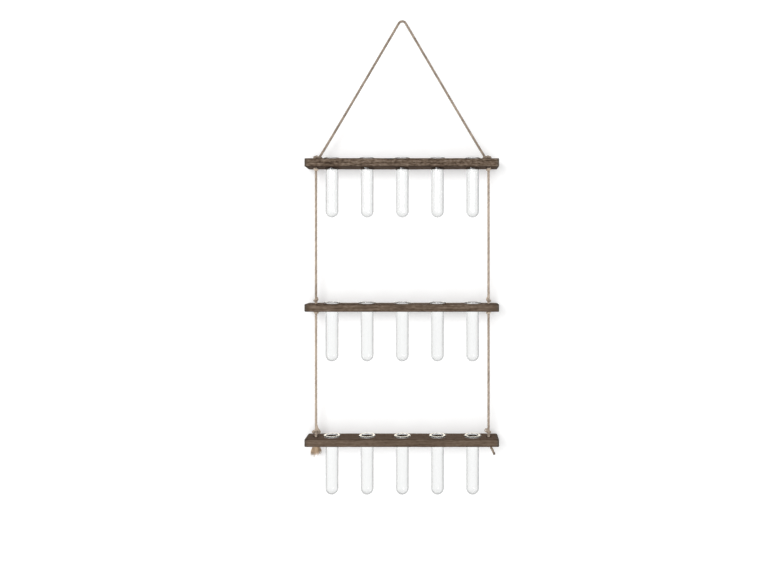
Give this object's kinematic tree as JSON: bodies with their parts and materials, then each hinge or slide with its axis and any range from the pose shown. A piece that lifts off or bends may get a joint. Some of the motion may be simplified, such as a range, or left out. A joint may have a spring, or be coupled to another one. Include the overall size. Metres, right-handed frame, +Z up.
{
  "type": "hanging propagation station",
  "caption": "Wall-hung propagation vase: wooden boards on a knotted rope ladder, each carrying a row of lift-out round-bottomed glass test tubes for plant cuttings.",
  "frame": {"origin": "middle of the nail that the rope hangs over, inside the rope's top bend", "axes": "+Z up, +X along the boards to the right as seen from the room, +Y towards the wall"},
  "size_m": [0.3, 0.038, 0.7417],
  "materials": {
    "stained_wood": "matt dark stain, open grain",
    "clear_glass": "clear, polished",
    "jute": "natural twisted jute"
  },
  "bodies": {
    "hanger": {"hanger_rope": "jute"},
    "top_tier": {"shelf_top": "stained_wood", "knot_over_top_left": "jute", "knot_over_top_right": "jute", "knot_under_top_left": "jute", "knot_under_top_right": "jute"},
    "middle_tier": {"shelf_middle": "stained_wood", "knot_over_middle_left": "jute", "knot_over_middle_right": "jute", "knot_under_middle_left": "jute", "knot_under_middle_right": "jute", "rope_middle_left": "jute", "rope_middle_right": "jute"},
    "bottom_tier": {"shelf_bottom": "stained_wood", "knot_over_bottom_left": "jute", "knot_over_bottom_right": "jute", "knot_under_bottom_left": "jute", "knot_under_bottom_right": "jute", "rope_bottom_left": "jute", "rope_bottom_right": "jute", "rope_tail_left": "jute", "rope_tail_right": "jute"},
    "test_tube_top_1": {"test_tube_top_1": "clear_glass"},
    "test_tube_top_2": {"test_tube_top_2": "clear_glass"},
    "test_tube_top_3": {"test_tube_top_3": "clear_glass"},
    "test_tube_top_4": {"test_tube_top_4": "clear_glass"},
    "test_tube_top_5": {"test_tube_top_5": "clear_glass"},
    "test_tube_middle_1": {"test_tube_middle_1": "clear_glass"},
    "test_tube_middle_2": {"test_tube_middle_2": "clear_glass"},
    "test_tube_middle_3": {"test_tube_middle_3": "clear_glass"},
    "test_tube_middle_4": {"test_tube_middle_4": "clear_glass"},
    "test_tube_middle_5": {"test_tube_middle_5": "clear_glass"},
    "test_tube_bottom_1": {"test_tube_bottom_1": "clear_glass"},
    "test_tube_bottom_2": {"test_tube_bottom_2": "clear_glass"},
    "test_tube_bottom_3": {"test_tube_bottom_3": "clear_glass"},
    "test_tube_bottom_4": {"test_tube_bottom_4": "clear_glass"},
    "test_tube_bottom_5": {"test_tube_bottom_5": "clear_glass"}
  },
  "joints": [
    {"name": "swing_top", "type": "hinge", "parent": "hanger", "child": "top_tier", "pos_m": [0, 0, -0.2058], "axis": [1, 0, 0], "range_deg": [-20, 0]},
    {"name": "swing_middle", "type": "hinge", "parent": "top_tier", "child": "middle_tier", "pos_m": [0, 0, -0.225], "axis": [1, 0, 0], "range_deg": [-20, 0]},
    {"name": "swing_bottom", "type": "hinge", "parent": "middle_tier", "child": "bottom_tier", "pos_m": [0, 0, -0.4486], "axis": [1, 0, 0], "range_deg": [-20, 0]},
    {"name": "lift_top_1", "type": "slide", "parent": "top_tier", "child": "test_tube_top_1", "axis": [0, 0, 1], "range_m": [0, 0.006]},
    {"name": "lift_top_2", "type": "slide", "parent": "top_tier", "child": "test_tube_top_2", "axis": [0, 0, 1], "range_m": [0, 0.096]},
    {"name": "lift_top_3", "type": "slide", "parent": "top_tier", "child": "test_tube_top_3", "axis": [0, 0, 1], "range_m": [0, 0.096]},
    {"name": "lift_top_4", "type": "slide", "parent": "top_tier", "child": "test_tube_top_4", "axis": [0, 0, 1], "range_m": [0, 0.096]},
    {"name": "lift_top_5", "type": "slide", "parent": "top_tier", "child": "test_tube_top_5", "axis": [0, 0, 1], "range_m": [0, 0.006]},
    {"name": "lift_middle_1", "type": "slide", "parent": "middle_tier", "child": "test_tube_middle_1", "axis": [0, 0, 1], "range_m": [0, 0.096]},
    {"name": "lift_middle_2", "type": "slide", "parent": "middle_tier", "child": "test_tube_middle_2", "axis": [0, 0, 1], "range_m": [0, 0.096]},
    {"name": "lift_middle_3", "type": "slide", "parent": "middle_tier", "child": "test_tube_middle_3", "axis": [0, 0, 1], "range_m": [0, 0.096]},
    {"name": "lift_middle_4", "type": "slide", "parent": "middle_tier", "child": "test_tube_middle_4", "axis": [0, 0, 1], "range_m": [0, 0.096]},
    {"name": "lift_middle_5", "type": "slide", "parent": "middle_tier", "child": "test_tube_middle_5", "axis": [0, 0, 1], "range_m": [0, 0.096]},
    {"name": "lift_bottom_1", "type": "slide", "parent": "bottom_tier", "child": "test_tube_bottom_1", "axis": [0, 0, 1], "range_m": [0, 0.096]},
    {"name": "lift_bottom_2", "type": "slide", "parent": "bottom_tier", "child": "test_tube_bottom_2", "axis": [0, 0, 1], "range_m": [0, 0.096]},
    {"name": "lift_bottom_3", "type": "slide", "parent": "bottom_tier", "child": "test_tube_bottom_3", "axis": [0, 0, 1], "range_m": [0, 0.096]},
    {"name": "lift_bottom_4", "type": "slide", "parent": "bottom_tier", "child": "test_tube_bottom_4", "axis": [0, 0, 1], "range_m": [0, 0.096]},
    {"name": "lift_bottom_5", "type": "slide", "parent": "bottom_tier", "child": "test_tube_bottom_5", "axis": [0, 0, 1], "range_m": [0, 0.096]}
  ]
}
